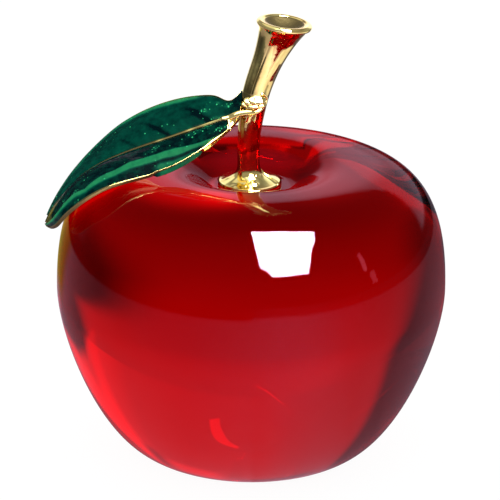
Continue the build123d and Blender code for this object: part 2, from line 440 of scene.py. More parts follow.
def stemFrame(u):
    # middle of the shaft's section at each share u, with the section's two axes and its normal
    x = bezier(stem["path"], u) + stem["bow"] * smoothStep(0.5, 0.86, u) * (1 - smoothStep(0.94, 1.0, u))
    z = stem["base"] + stem["footThick"] + stem["length"] * u
    tilt = math.radians(stem["tilt"]) * u**3
    zero = np.zeros_like(x)
    middle = np.stack([x, zero, z], -1)
    side = np.stack([np.cos(tilt), zero, -np.sin(tilt)], -1)
    normal = np.stack([np.sin(tilt), zero, np.cos(tilt)], -1)
    return middle, side, np.broadcast_to(np.array([0.0, 1.0, 0.0]), middle.shape), normal


def stemRadius(u):
    # straight taper, a flare at the mouth and a steep one at the foot
    k = stem
    foot = k["footRadius"] - k["footShoulder"] - k["shaft"]
    return k["shaft"] + k["growth"] * u + k["flare"] * u ** k["flarePower"] + foot * (1 - u) ** k["footFall"] + k["swell"] * smoothStep(0.05, 0.47, u) * (1 - smoothStep(0.47, 0.8, u)) + 0.25 * hump(u, 0.93, 0.13) + k["lowSwell"] * hump(u, 0.1, 0.14)


def stemCasting():
    # rings from the glue pocket, round the foot, up the shaft, over the lip and down into the dish;
    # each ring is a circle of radius r at height h on its section, and shallow grooves run down the shaft
    k = stem
    v = np.arange(k["turns"]) / k["turns"] * tau
    u = 1 - (1 - np.linspace(0, 1, 150)) ** 1.0
    u = np.concatenate([np.linspace(0, 0.09, 36)[:-1], np.linspace(0.09, 0.985, 110)])
    shaftR = stemRadius(u)
    topR = stemRadius(np.array([1.0]))[0]
    pathR = topR - k["lipWide"]
    angle = np.linspace(-0.32 * math.pi, 0.80 * math.pi, 26)
    lipR = pathR + k["lipWide"] * np.cos(angle)
    lipH = k["lipSink"] - k["lip"] + k["lip"] * np.sin(angle)
    ball = (k["dishRadius"] ** 2 + k["dishDepth"] ** 2) / (2 * k["dishDepth"])
    dishR = np.linspace(k["dishRadius"] * 0.98, 0.3, 14)
    dishH = ball - k["dishDepth"] - np.sqrt(ball**2 - dishR**2)
    footZ = -k["footThick"]
    corner = np.linspace(0, math.pi / 2, 6)
    round_ = k["footRound"]
    footR = np.concatenate([[k["pocketRadius"] * 0.5, k["pocketRadius"] - 0.05, k["pocketRadius"], k["pocketRadius"], k["pocketRadius"] + 0.1, k["footRadius"] - 0.4],
                            k["footRadius"] - round_ * 0.5 * (1 - np.sin(corner)), k["footRadius"] - round_ * (1 - np.cos(corner[1:]))])
    footH = np.concatenate([[footZ + k["pocketDepth"], footZ + k["pocketDepth"], footZ + k["pocketDepth"] - 0.05, footZ + 0.03, footZ, footZ],
                            footZ + round_ * 0.5 * (1 - np.cos(corner)), -round_ * (1 - np.sin(corner[1:]))])
    r = np.concatenate([footR, shaftR, lipR, dishR])
    h = np.concatenate([footH, np.zeros_like(shaftR), lipH, dishH])
    share = np.concatenate([np.zeros_like(footR), u, np.ones_like(lipR), np.ones_like(dishR)])
    onShaft = np.concatenate([np.zeros_like(footR), np.ones_like(u), np.zeros_like(lipR), np.zeros_like(dishR)])
    middle, side, back, normal = stemFrame(share)
    degrees = (np.degrees(v)[None, :] + 180) % 360 - 180
    fromFront = (degrees + 90 + 180) % 360 - 180
    reach = (onShaft * smoothStep(0.1, 0.4, share) * (1 - smoothStep(0.9, 0.98, share)))[:, None]
    dent = k["waves"] * (np.cos(3 * v[None, :] - 1.1) + 0.5 * np.cos(5 * v[None, :] + 0.6))
    # painted shade in brown: a band just above the clasp on the front and left, and painted dark reflections along the
    # grooves
    brownAndShade = 0.6 * onShaft[:, None] * between(share[:, None], 0.555, 0.60, 0.03) * between(fromFront, -75, 5, 12)
    for place, turn, half, deep, brown in k["grooves"]:
        off = (fromFront - place - turn * (share[:, None] - 0.51) / 0.49 + 180) % 360 - 180
        dent = dent - deep * hump(off, 0, half)
        brownAndShade = np.maximum(brownAndShade, brown * hump(off, 0, half * 0.9) * reach * smoothStep(0.4, 0.58, share)[:, None])
    ring = r[:, None] * (1 + reach * dent)
    # on the foot a crease runs out to the right; behind it the metal stands higher, before it lower
    onFoot = onShaft * smoothStep(2.1, 2.8, r) * (1 - smoothStep(6.0, 6.3, r))
    line = np.interp(r, (2.4, 6.2), (k["creaseInner"], k["creaseOuter"]))[:, None]
    raised = smoothStep(line - 0.7, line + 1.4, degrees) * (1 - smoothStep(60, 95, degrees))
    dipped = smoothStep(-170, -60, degrees) * (1 - smoothStep(line - 8, line - 0.7, degrees))
    h = h[:, None] + onFoot[:, None] * (k["creaseRise"] * raised - k["creaseDip"] * dipped)
    flangeX, flangeY = r[:, None] * np.cos(v), r[:, None] * np.sin(v)
    low = onShaft[:, None] * (1 - smoothStep(0.06, 0.1, share))[:, None] * (1 - smoothStep(5.8, 6.3, r))[:, None]
    for x, y, wide, tall in k["lumps"]:
        h = h + low * tall * np.exp(-((flangeX - x) ** 2 + (flangeY - y) ** 2) / wide**2)
    grid = (
        middle[:, None] + normal[:, None] * h[..., None]
        + side[:, None] * (ring * np.cos(v))[..., None] + back[:, None] * (ring * np.sin(v))[..., None]
    )
    # the dish inside the mouth is made rough and darkened with painted shade, the foot a little
    dish = np.concatenate([np.zeros_like(footR), np.zeros_like(u), np.zeros_like(lipR), np.ones_like(dishR)])
    rough = np.maximum(dish[:, None] + 0 * degrees, 0.08 * onFoot[:, None])
    # the upper shaft's right side is a little flattened, save one scratch, and looks over the crystal
    lift = k["lift"] * onShaft[:, None] * smoothStep(12, 30, fromFront) * between(share[:, None], 0.56, 0.882 + 0.012 * np.sin(v * 7)[None, :], 0.012)
    lift = lift * (1 - between(share[:, None], 0.645, 0.765, 0.015) * smoothStep(33, 40, fromFront + 5 * np.sin(40 * share[:, None])))
    lift = lift - 0.3 * onShaft[:, None] * between(fromFront, -26, 50, 6) * between(share[:, None], 0.889 + 0.012 * np.sin(v * 7)[None, :], 0.94, 0.01)
    return makePiece("stemCasting", grid, goldMaterial("gilt casting"), ["stem"], attributes={"rough": rough, "brownAndShade": brownAndShade, "lift": lift})


def facing(right, up):
    # three unit axes: one turned right and up from the front by the given degrees, one across and one rising
    a, e = math.radians(right), math.radians(up)
    face = np.array([math.sin(a) * math.cos(e), -math.cos(a) * math.cos(e), math.sin(e)])
    across = np.array([math.cos(a), math.sin(a), 0.0])
    return face, across, np.cross(face, across)


def footBlobs():
    # smooth lumps of metal in front of the shaft's foot: flat ellipsoids sunk in the flange
    face, across, rise = facing(*stem["blobFacing"])
    shells = [pebbleShell((x, y, z), (face * deep, across * wide, rise * tall), 0.03) for x, y, z, wide, tall, deep in stem["blobs"]]
    return makePiece("footBlobs", shells, goldMaterial("gilt lumps"), ["stem"])


# ---- leaf casting and enamel

leaf = {
    "claspRise": 13.6, "claspHeight": 4.0, "film": 0.12, "wall": 0.35, "bulge": 0.55,
    "inset": 0.85, "forward": 2.2, "drop": 2.2,
    "overhang": 1.6, "tipHeight": 49.404, "lean": 2.8,
    "reachShares": (0.604, 0.842), "fallShares": (0.385, 0.352),
    "halfWidth": 12.3, "rootPower": 0.9, "tipPower": 0.75,
    "rootFar": 3.3, "rootNear": 1.1, "rootFall": 3,
    "neck": 3.35, "neckPower": 80, "neckSweep": 0.4, "notch": 1.3,
    "farBank": (54.0, 40.0, -14.0, -25.0), "farTrim": (0.3, 0.2, 0.08), "nearBank": (68.0, 20.0, -20.0, 39.0), "bankPower": 0.8,
    "bulgeShare": 0.09, "back": 0.85, "rimHeight": 0.45, "midrib": 0.6,
    "rimNear": 0.2, "cover": (0.11, 0.285, 0.012), "coverBy": 0.45, "coverLow": 0.1, "rimFar": 0.14, "ribSink": 0.5, "thinEdge": 0.55,
    "lobes": ((0.2, 0.09, 0.5), (0.65, 0.12, 0.6), (0.87, 0.06, 0.8)),  # where the near margin stands out, how far along, by how much
    # spots along the midrib left free of painted shade, where it catches highlights
    "unshadedSpots": ((0.085, 0.03), (0.155, 0.012), (0.27, 0.012)),
    "tipShare": 0.996, "stations": 150,
}


def claspShare():
    return (crystal["crest"] + leaf["claspRise"] - stem["base"] - stem["footThick"]) / stem["length"]


def leafRoot():
    # start of the midrib, just inside the clasp's front left
    u = np.array([claspShare()])
    middle = stemFrame(u)[0][0]
    side = stemRadius(u)[0] + leaf["film"] + leaf["wall"] + leaf["bulge"] - leaf["inset"]
    return middle + np.array([-side, -leaf["forward"], -leaf["drop"]])


def midrib(t):
    # points and unit tangents of the midrib: Bezier reach towards -X, Bezier fall, steady lean to the front
    root = leafRoot()
    reach = crystal["radius"] + leaf["overhang"] + root[0]
    fall = root[2] - leaf["tipHeight"]
    along = (0, leaf["reachShares"][0] * reach, leaf["reachShares"][1] * reach, reach)
    down = (0, leaf["fallShares"][0] * fall, leaf["fallShares"][1] * fall, fall)
    point = root + np.stack([-bezier(along, t), -leaf["lean"] * t, -bezier(down, t)], -1)
    tangent = np.stack([-bezierSlope(along, t), np.full_like(t, -leaf["lean"]), -bezierSlope(down, t)], -1)
    return point, unit(tangent)


def neckWidth(t, side):
    return leaf["neck"] * (1 - t) ** leaf["neckPower"] * (side > 0)


def halfWidth(t, side):
    # a lens t^a (1-t)^b over its own peak, plus the width kept at the root and the far side's neck
    a, b = leaf["rootPower"], leaf["tipPower"]
    peakT = a / (a + b)
    lens = t**a * (1 - t) ** b / (peakT**a * (1 - peakT) ** b)
    rootWidth = leaf["rootFar"] if side > 0 else leaf["rootNear"]
    if side > 0:
        local = -leaf["notch"] * hump(t, 0.03, 0.03)
    else:
        local = lens * sum(amount * hump(t, place, half) for place, half, amount in leaf["lobes"])
    width = leaf["halfWidth"] * lens + rootWidth * (1 - t) ** leaf["rootFall"] + neckWidth(t, side) + local
    place, half, amount = leaf["farTrim"]
    return width * (1 - (side > 0) * amount * hump(t, place, half))


def rimWidth(t, side):
    # gold left bare along the margin: a thread on the far half, wider on the near one and widest by the stem
    if side > 0:
        return leaf["rimFar"] * np.ones_like(t) + 0.2 * hump(t, 0.62, 0.12)
    return leaf["rimNear"] + 0.58 * hump(t, 0.082, 0.03)


def bladePoints(t, across, height, side):
    # across runs 0 at the midrib to 1 at the margin; each half leans by its own bank angle,
    # bulges as 4*across*(1-across), sinks a little along the midrib, and height stands square to the blade
    point, tangent = midrib(t)
    lean = [np.radians(bezier(leaf[name], t ** leaf["bankPower"])) for name in ("farBank", "nearBank")]
    mean = (lean[0] + lean[1]) / 2
    own = lean[0] if side > 0 else lean[1]
    width = halfWidth(t, side)
    zero = np.zeros_like(t)
    outward = np.stack([zero, side * np.cos(own), side * np.sin(own)], -1)
    sweep = np.stack([leaf["neckSweep"] * neckWidth(t, side), zero, zero], -1)
    upward = unit(np.cross(np.stack([zero, np.cos(mean), np.sin(mean)], -1), tangent))
    sink = leaf["ribSink"] * smoothStep(0.05, 0.25, t) * (1 - smoothStep(0.8, 0.98, t))
    lift = 4 * leaf["bulgeShare"] * width[:, None] * across * (1 - across) + height - sink[:, None] * np.clip(1 - across, 0, 1) ** 3
    return point[:, None] + (outward * width[:, None] + sweep)[:, None] * across[..., None] + upward[:, None] * lift[..., None]


def halfSection(t, side):
    # across and height of one half's skin, from the midrib's top out over tray and rim, round the margin
    # and back along the underside
    width = halfWidth(t, side)[:, None]
    top, low = leaf["rimHeight"], -leaf["back"]
    rib = np.minimum(leaf["midrib"] / 2, 0.3 * width)
    rim = np.minimum(rimWidth(t, side)[:, None], 0.4 * width) * (1 - 0.6 * (side < 0) * between(t, *leaf["cover"])[:, None])
    full = np.ones_like(width)
    across = [0 * full, rib * 0.6 / width, rib * 0.9 / width, rib / width, rib * 1.02 / width]
    height = [top * full, (top - 0.04) * full, (top - 0.14) * full, (top - 0.3) * full, 0 * full]
    for s in np.linspace(0.12, 0.88, 9):
        across.append(rib / width + (1 - rim / width - rib / width) * s)
        height.append(0 * full)
    across += [1 - rim * 1.02 / width, 1 - rim / width, 1 - rim * 0.85 / width, 1 - rim * 0.5 / width, 1 - rim * 0.15 / width, full, full, full, 1 - 0.15 * rim / width]
    height += [0 * full, (top - 0.3) * full, (top - 0.08) * full, top * full, (top - 0.06) * full, (top - 0.25) * full, 0.5 * (top + low) * full, (low + 0.2) * full, low * full]
    for s in np.linspace(0.85, 0.1, 7):
        across.append(s * full)
        height.append(low * full)
    across, height = np.hstack(across), np.hstack(height)
    if side < 0:  # the near margin is cast thinner
        thin = leaf["thinEdge"] * smoothStep(0.7, 0.97, across) * smoothStep(0.1, 0.3, t)[:, None]
        height = np.where(height < 0, height + thin * height / low, height)
        covered = between(t, *leaf["cover"])[:, None] * leaf["coverBy"] / width  # here the glaze runs over the edge
        across = np.where(across > 0.9, across - covered, across)
        height = height - leaf["coverLow"] * between(t, *leaf["cover"])[:, None] * (height > 0.2) * (across > 0.5)
    return across, height


def leafCasting():
    # both halves' skins joined into one ring per station, the far half outwards and the near half back
    t = (1 - np.cos(np.linspace(0, math.pi, leaf["stations"]))) / 2 * leaf["tipShare"]
    rings = []
    for side in (1, -1):
        across, height = halfSection(t, side)
        rings.append(bladePoints(t, across, height, side))
    grid = np.concatenate([rings[0], rings[1][:, :0:-1]], 1)
    # the midrib's top is browned with painted shade and dark reflection, but for a few spots left bright where it
    # catches highlights
    worn = sum(hump(t, place, half) for place, half in leaf["unshadedSpots"])
    brown = 0.85 * smoothStep(0.03, 0.07, t) * (1 - np.clip(worn, 0, 1))
    brownAndShade = np.zeros(grid.shape[:2])
    brownAndShade[:, :5] = brownAndShade[:, -4:] = brown[:, None]
    brownAndShade[:, 37:46] = 0.75 * (1 - between(t, 0.062, 0.14, 0.02))[:, None]  # and the near margin gets painted shade too, but for the strip by the stem that catches the highlight
    # the near margin is also made rough, which darkens it further with painted shade, but for the same strip
    rough = np.zeros(grid.shape[:2])
    rough[:, 35:41] = 0.6 * (1 - between(t, 0.06, 0.14, 0.02))[:, None]
    return makePiece("leafCasting", grid, goldMaterial("gilt leaf"), ["leaf_frame"], attributes={"brownAndShade": brownAndShade, "rough": rough}, flip=True)


enamel = {
    "thick": 0.36, "droop": 0.7, "fit": 0.03, "startFar": 0.001, "startNear": 0.034, "end": 0.965, "columns": 64,
    "bandEdge": ((0.10, 0.14, 0.19, 0.23, 0.31, 0.39, 0.465, 0.53, 0.60, 0.68), (0.86, 0.83, 0.80, 0.79, 0.80, 0.77, 0.72, 0.59, 0.48, 0.30)),
    "bandRise": 0.25, "vein": 0.22,
    "veins": (((0.08, 0.0), (0.155, 0.6), 1.0), ((0.222, 0.0), (0.315, 0.45), 0.8), ((0.36, 0.0), (0.47, 0.4), 0.35)),
    "rollTop": ((0.04, 0.07, 0.12, 0.15, 0.20, 0.24, 0.30, 0.38, 0.45, 0.53, 0.62, 0.69, 0.80), (0.90, 0.81, 0.69, 0.62, 0.54, 0.53, 0.57, 0.60, 0.71, 0.74, 0.83, 0.76, 0.80)),
    "rollLow": ((0.04, 0.08, 0.12, 0.15, 0.20, 0.24, 0.30, 0.38, 0.45, 0.53, 0.62, 0.69, 0.80), (0.99, 0.97, 0.83, 0.78, 0.77, 0.73, 0.76, 0.78, 0.85, 0.88, 0.92, 0.87, 0.88)),
    "rollRise": 0.35,
    # spots of painted glints on each half: along, across, half length and half width
    "glintSpotsFar": ((0.035, 0.62, 0.012, 0.12), (0.063, 0.7, 0.008, 0.06), (0.105, 0.42, 0.01, 0.05), (0.065, 0.12, 0.02, 0.06)),
    "glintSpotsNear": ((0.28, 0.3, 0.015, 0.1), (0.14, 0.22, 0.02, 0.1), (0.10, 0.13, 0.012, 0.08), (0.06, 0.5, 0.012, 0.1), (0.04, 0.62, 0.01, 0.12), (0.68, 0.72, 0.015, 0.05), (0.77, 0.7, 0.01, 0.08)),
}


def enamelRelief(t, across, side):
    # extra height of the glaze, its tone and its painted glints, by place on the half: the far half has a rolled margin
    # made pale with painted sheen and side veins darkened with painted shade, the near half a dark valley and a roll
    # made pale with painted light
    k = enamel
    t = t[:, None]
    # glint spots: they place the painted glints and lighten the tone with painted highlight
    clear = sum(hump(t, tc, th) * hump(across, ac, ah) for tc, ac, th, ah in k["glintSpotsFar" if side > 0 else "glintSpotsNear"])
    if side > 0:
        edge = np.interp(t, *k["bandEdge"])
        band = smoothStep(edge - 0.03, edge + 0.06, across) * smoothStep(0.10, 0.15, t) * (1 - 0.35 * smoothStep(0.4, 0.55, t))
        veins = 0
        for (t0, a0), (t1, a1), depth in k["veins"]:
            line = t0 + (t1 - t0) * (across - a0) / (a1 - a0)
            veins = veins + depth * hump(t, line, 0.013) * (1 - smoothStep(a1 - 0.12, a1 + 0.05, across))
        lift = k["bandRise"] * band - k["vein"] * veins
        # painted light: a pale spot near the root and a paler strip beside the midrib; painted shade: darker towards
        # the tip, at the root and in the veins
        light = 0.22 * hump(t, 0.085, 0.03) * hump(across, 0.5, 0.3) + 0.16 * hump(across, 0.06, 0.16) * smoothStep(0.12, 0.18, t)
        tone = (0.22 + light - 0.08 * smoothStep(0.35, 0.6, t) + 0.35 * clear) * (1 - band) + 0.95 * band - 0.5 * veins - 0.2 * hump(t, 0.0, 0.03)
        paintedGlints = clear
    else:
        top, low = np.interp(t, *k["rollTop"]), np.interp(t, *k["rollLow"])
        roll = between(across, top, low, 0.03)
        lift = k["rollRise"] * hump(across, (top + low) / 2, 0.75 * (low - top)) - 0.12 * hump(across, 0.3, 0.2)
        # painted light: the roll is made pale, and so is the outer strip where the glaze runs over the near margin
        tone = 0.06 + 0.89 * roll + 0.3 * clear
        lobe = between(t, 0.11, 0.27, 0.015) * smoothStep(low + 0.05, low + 0.12, across)
        tone = tone * (1 - lobe) + 0.72 * lobe
        paintedGlints = clear
    return lift, tone, paintedGlints


def enamelFill(name, node, side):
    # glaze in one tray: its top follows the relief, its underside sits just over the tray's floor
    start = enamel["startFar"] if side > 0 else enamel["startNear"]
    t = start + (enamel["end"] - start) * (1 - np.cos(np.linspace(0, math.pi, 2 * leaf["stations"]))) / 2
    width = halfWidth(t, side)[:, None]
    first = (leaf["midrib"] / 2 + enamel["fit"]) / width
    last = 1 - (np.minimum(rimWidth(t, side)[:, None], 0.4 * width) + enamel["fit"]) / width
    over = (side < 0) * between(t, *leaf["cover"])[:, None]
    last = last + over * (leaf["rimNear"] + 0.1) / width
    s = np.linspace(0, 1, enamel["columns"])[None, :]
    across = first + (last - first) * s
    lift, tone, paintedGlints = enamelRelief(t, across, side)
    edge = np.clip(np.minimum(s, 1 - s) * 12, 0, 1) ** 0.5
    droop = enamel["droop"] * over
    top = bladePoints(t, across, (enamel["thick"] + lift) * edge + enamel["fit"] * 2 * (1 - edge) + 0.05 - droop * smoothStep(0.86, 1.0, s), side)
    back = np.linspace(1, 0, 9)[None, :]
    under = bladePoints(t, first + (last - first) * back, enamel["fit"] - droop * smoothStep(0.86, 1.0, back), side)
    grid = np.concatenate([top, under], 1)
    pad = np.zeros((len(t), 9))
    look = {"tone": np.hstack([tone, pad]), "paintedGlints": np.hstack([paintedGlints, pad])}
    return makePiece(name, grid, enamelMaterial(), [node], attributes=look, flip=side > 0)


# ---- clasp: the midrib's end is drawn out into a strap that curls round the stem's front

clasp = {
    "strap": ((-6.4, -2.62, 71.25, 0.30), (-4.96, -2.55, 71.45, 0.55), (-3.76, -2.6, 71.98, 0.62), (-2.76, -2.65, 72.36, 0.62),
              (-1.7, -2.75, 72.6, 0.62), (-0.55, -2.88, 72.78, 0.60), (0.85, -2.80, 72.95, 0.56), (1.85, -2.41, 73.61, 0.46),
              (2.54, -1.95, 74.66, 0.36), (2.63, -2.15, 75.79, 0.30), (2.12, -2.70, 76.58, 0.27), (1.52, -2.95, 76.40, 0.24)),
    "strapFlat": 0.5, "facing": (10.0, 40.0),  # the flattened side: degrees to the right and up
    "drips": (((-1.0, -2.75, 72.7, 0.26), (-1.1, -2.62, 71.6, 0.28), (-1.46, -2.42, 70.45, 0.36)),
              ((0.9, -2.75, 72.8, 0.24), (0.55, -2.70, 71.6, 0.20), (0.17, -2.62, 70.6, 0.42)),
              ((-0.2, -2.80, 72.7, 0.28), (-0.6, -2.68, 71.9, 0.30), (-1.75, -2.35, 71.4, 0.26)),
              ((-3.2, -2.6, 72.1, 0.26), (-3.4, -2.6, 71.2, 0.30), (-4.0, -2.75, 70.35, 0.40)),
              ((-4.9, -2.8, 71.2, 0.34), (-4.75, -3.2, 70.2, 0.30), (-4.5, -3.7, 69.1, 0.34))),
    "pebbles": ((0.9, 75.4, 1.8, 1.2, 0.5), (-0.55, 75.0, 1.3, 0.95, 0.5), (1.5, 74.3, 1.15, 0.9, 0.5), (0.3, 74.0, 1.4, 0.7, 0.5), (-1.45, 74.2, 0.8, 0.65, 0.4)),  # sideways, up, and the half sizes
}


def claspScroll():
    # the strap and its drips are wires along smooth paths, and the solder lumps are waved ellipsoids on the stem
    def outwards(path):
        # away from the stem's middle line
        share = (path[:, 2] - stem["base"] - stem["footThick"]) / stem["length"]
        middle = stemFrame(np.clip(share, 0, 1))[0]
        away = path[:, :3] - middle
        away[:, 2] = 0
        return unit(away)

    face, across, rise = facing(*clasp["facing"])
    path = smoothPath(clasp["strap"], 90)
    shells = [wireShell(path, 0.35 * outwards(path) + face, clasp["strapFlat"])]
    for drip in clasp["drips"]:
        path = smoothPath(drip, 26)
        shells.append(wireShell(path, outwards(path)))
    for sideways, height, wide, tall, deep in clasp["pebbles"]:
        share = np.array([(height - stem["base"] - stem["footThick"]) / stem["length"]])
        middle, reach = stemFrame(share)[0][0], stemRadius(share)[0]
        angle = math.asin((sideways - middle[0]) / reach)
        centre = np.array([middle[0], 0, height]) + np.array([math.sin(angle), -math.cos(angle), 0.0]) * (reach + 0.1)
        shells.append(pebbleShell(centre, (face * deep, across * wide, rise * tall), 0.04))
    return makePiece("claspScroll", shells, goldMaterial("gilt clasp"), ["leaf_frame"])


# ---- glue and solder keep their CAD shapes

def thinFilms():
    glue, nodes, links, shader = newMaterial("clear glue")
    coords = nodes.new("ShaderNodeTexCoord").outputs["Object"]
    links.new(ramp(nodes, links, noiseNode(nodes, links, coords, 600).outputs["Fac"], [(0.3, (0.55, 0.45, 0.25)), (0.7, (0.75, 0.66, 0.45))]), shader.inputs["Base Color"])
    shader.inputs["Roughness"].default_value = 0.25
    solder = goldMaterial("gilt solder", 2.0, 0.8)
    for name, material in (("stem_glue", glue), ("clasp_solder", solder)):
        node = frame["nodes"][name]
        for slot in node.material_slots:
            slot.material = material
        if not node.material_slots:
            node.data.materials.append(material)


# ---- studio: table, walls, softbox and camera

studio = {
    "tableRadius": 1.2, "tableColour": (0.80, 0.80, 0.80), "tableWhite": 0.9,
    "wallRadius": 3.0, "wallLow": -22.0, "roomRadius": 0.13,
    "paper": 0.69,                       # brightness of the paper sweep through the crystal
    "card": 0.10,                        # the dark cards that edge it
    "leftCard": (-72.0, -34.0), "rightCard": (46.0, 76.0),
    "cardTop": 0.35,                     # how much paler the right card is above
    "lampRadius": 100.0,                 # a lamp close behind the apple's right
    # where the crystal gathers light on the table: x, y, squared size and strength
    "patches": ((-6.5, 28.5, 30, 1.05), (-13.5, 37, 40, 0.4), (20, 30, 90, 0.24), (-3.2, 17.5, 6, 0.9), (39.0, -16.6, 16, 2.0), (58, 21, 70, 0.55)),
    "deepGlow": 0.45, "mirrorTint": (1.12, 0.87, 1.12), "strawTint": (1.0, 0.8, 0.12),
    "wallMirror": 0.02, "backdropMirror": 0.5,
    "roomHeight": 0.05, "room": 0.05, "roomPaper": 0.85, "roomSky": 0.28, "roomRight": 0.75, "roomTop": 1.4,  # what metal sees besides
    "strapCorners": ((-0.45, -0.55, 0.62), (-0.05, -0.72, 0.62), (0.0, -0.2, 0.98), (-0.45, -0.1, 0.9)), "panelOnStrap": 5.0,
    "panelFar": 0.9, "panelOnMetal": 25.0, "panelOnEnamel": 0.15, "panelOnCrystal": 140.0,
    "panelCorners": ((-0.0055, 0.0293, 0.9996), (0.1710, 0.0316, 0.9848), (0.3668, 0.0223, 0.9300), (0.4878, -0.4793, 0.7296),
                     (0.5240, -0.7521, 0.3997), (0.3620, -0.8412, 0.4017), (0.1940, -0.8946, 0.4026), (0.1801, -0.8837, 0.4321),
                     (0.1586, -0.8605, 0.4841), (0.1306, -0.8448, 0.5189), (0.0791, -0.8329, 0.5477), (0.0302, -0.5145, 0.8570)),
    # small warm panes to the right that only the crystal mirrors, and how strongly
    "panes": ((((0.822, -0.309, 0.479), (0.834, -0.249, 0.492), (0.928, -0.301, 0.220), (0.912, -0.350, 0.214)), 7.0),
              (((0.937, -0.300, 0.179), (0.953, -0.237, 0.187), (0.973, -0.225, 0.045), (0.957, -0.287, 0.037)), 4.0)),
    "paneTint": (1.0, 0.2, 0.24),
    # bright slivers behind, seen through the crystal: two edges as degrees and heights on a cylinder, and how strongly
    "sliverRadius": 300.0,
    "slivers": ((((7.7, 36.7), (7.7, 53.8), (6.4, 68.0), (2.9, 76.8), (2.2, 73.0)), ((5.6, 32.8), (5.6, 43.2), (4.6, 59.7), (3.4, 68.0), (2.1, 72.8)), 0.45),
                (((-0.9, 0.0), (-2.8, 5.3), (-5.1, 15.0), (-6.6, 21.8), (-7.6, 31.1)), ((-0.9, 1.4), (-2.8, 6.9), (-5.2, 16.6), (-6.8, 23.2), (-7.7, 31.1)), 0.4)),
    "fill": 1.0, "white": 1.06,  # strength of the white that the camera sees
}


def wallGlow(azimuth, height):
    # what refracted and mirrored rays meet beyond the table, by azimuth (0 behind the apple) and height in degrees
    k = studio
    through = k["paper"] * np.interp(azimuth, (-180, -168, -34, -24, -18, -10, -4, 10, 20, 30, 37, 44, 168, 180), (1.17, 0.74, 0.74, 0.76, 0.78, 0.87, 0.99, 1.03, 1.05, 1.1, 1.4, 1.6, 1.6, 1.17))
    low = 1 - smoothStep(40, 50, height)
    through = through * (1 - 0.6 * smoothStep(73, 79, height)) * (1 - 0.85 * between(azimuth, 84, 102, 4) * between(height, 18, 31, 2))
    cards = np.maximum(between(azimuth, *k["leftCard"], 3.0), between(azimuth, *k["rightCard"], 5.0)) * low
    through = through * (1 - cards) + (k["card"] + k["cardTop"] * (azimuth > 0) * smoothStep(8, 16, height)) * cards
    through = through + 0.5 * between(azimuth, 10, 30, 4) * between(height, 32, 42, 2.5) - 0.5 * between(azimuth, 33, 40, 3) * between(height, 29, 42, 3)
    through = through - 0.28 * between(azimuth, -24, 2, 6) * between(height, 37, 44, 2)
    edge = np.interp(height, (-2, 6, 15, 22, 27, 31), (53, 50, 46, 40, 31, 14))
    wide = between(azimuth, -14, edge, 3) * between(height, 3.5, 31, 1.5)
    narrow = between(azimuth, -4, 11, 5) * between(height, 13, 29, 3)
    mirror = k["wallMirror"] * (1 + 2 * smoothStep(100, 150, np.abs(azimuth))) + k["backdropMirror"] * (wide * (0.56 + 0.12 * (1 - smoothStep(8, 16, height))) + 0.6 * narrow)
    mirror = mirror + 0.05 * between(azimuth, -58, -42, 5) * between(height, 0, 33, 4)
    return through, mirror, k["mirrorTint"]


def tableGlow(azimuth, radius):
    # the same for the table: the bright paper strip behind, shade close to the crystal, red-lit patches where
    # it gathers the light, and a mirror value that rises towards the panel at the front right
    k = studio
    core = np.interp(radius, (0, 36, 50, 67, 85, 110, 155, 220), (0.5, 0.24, 0.29, 0.39, 0.48, 0.68, 0.87, 0.94))
    left = np.interp(radius, (60, 95, 300, 900), (-18, -29, -31, -34))
    right = np.interp(radius, (60, 95, 118, 150, 300, 900), (18, 13, 17, 39, 42, 46))
    soft = np.interp(radius, (80, 220), (10, 4))
    strip = between(azimuth, left, right, soft) * (1 - 0.24 * (1 - smoothStep(-26, -10, azimuth)))
    strip = np.maximum(strip, smoothStep(86, 96, np.abs(azimuth)))
    edge = np.interp(radius, (30, 46, 60, 80), (0.5, 0.2, 0.13, 0.09))
    through = k["paper"] * (core * strip + edge * (1 - strip))
    a = np.radians(azimuth)
    x, y = radius * np.sin(a), radius * np.cos(a)
    for px, py, spread, glow in k["patches"]:
        through = through + glow * np.exp(-((x - px) ** 2 + (y - py) ** 2) / spread)
    through = through + 0.5 * hump(radius, 42, 9) * smoothStep(45, 60, np.abs(azimuth))
    around = np.interp(azimuth, (-180, -150, -130, -110, -90, -50, -30, 0, 25, 40, 60, 90, 110, 130, 142, 152, 165, 180),
                       (1.2, 0.66, 0.5, 0.3, 0.21, 0.22, 0.45, 0.4, 0.1, 0.1, 0.2, 0.32, 0.42, 0.7, 1.2, 1.5, 1.6, 1.2))
    out = np.interp(radius * (1 + 0.22 * (azimuth < 0)), (0, 22, 28, 40, 54, 64, 80, 350, 400), (0.2, 0.25, 0.36, 0.56, 0.77, 0.9, 1, 1, 0.06))
    out = out + 0.14 * smoothStep(25, 45, azimuth) * (radius > 395)
    straw = (between(azimuth, -52, -24, 5) * between(radius, 110, 500, 15))[..., None]
    return through, around * out, np.array(k["mirrorTint"]) * (1 - straw) + np.array(k["strawTint"]) * straw


def linkTo(light, receivers):
    # the light reaches only the given pieces
    lit = bpy.data.collections.new(light.name + " receivers")
    for piece in receivers:
        lit.objects.link(piece)
    light.light_linking.receiver_collection = lit


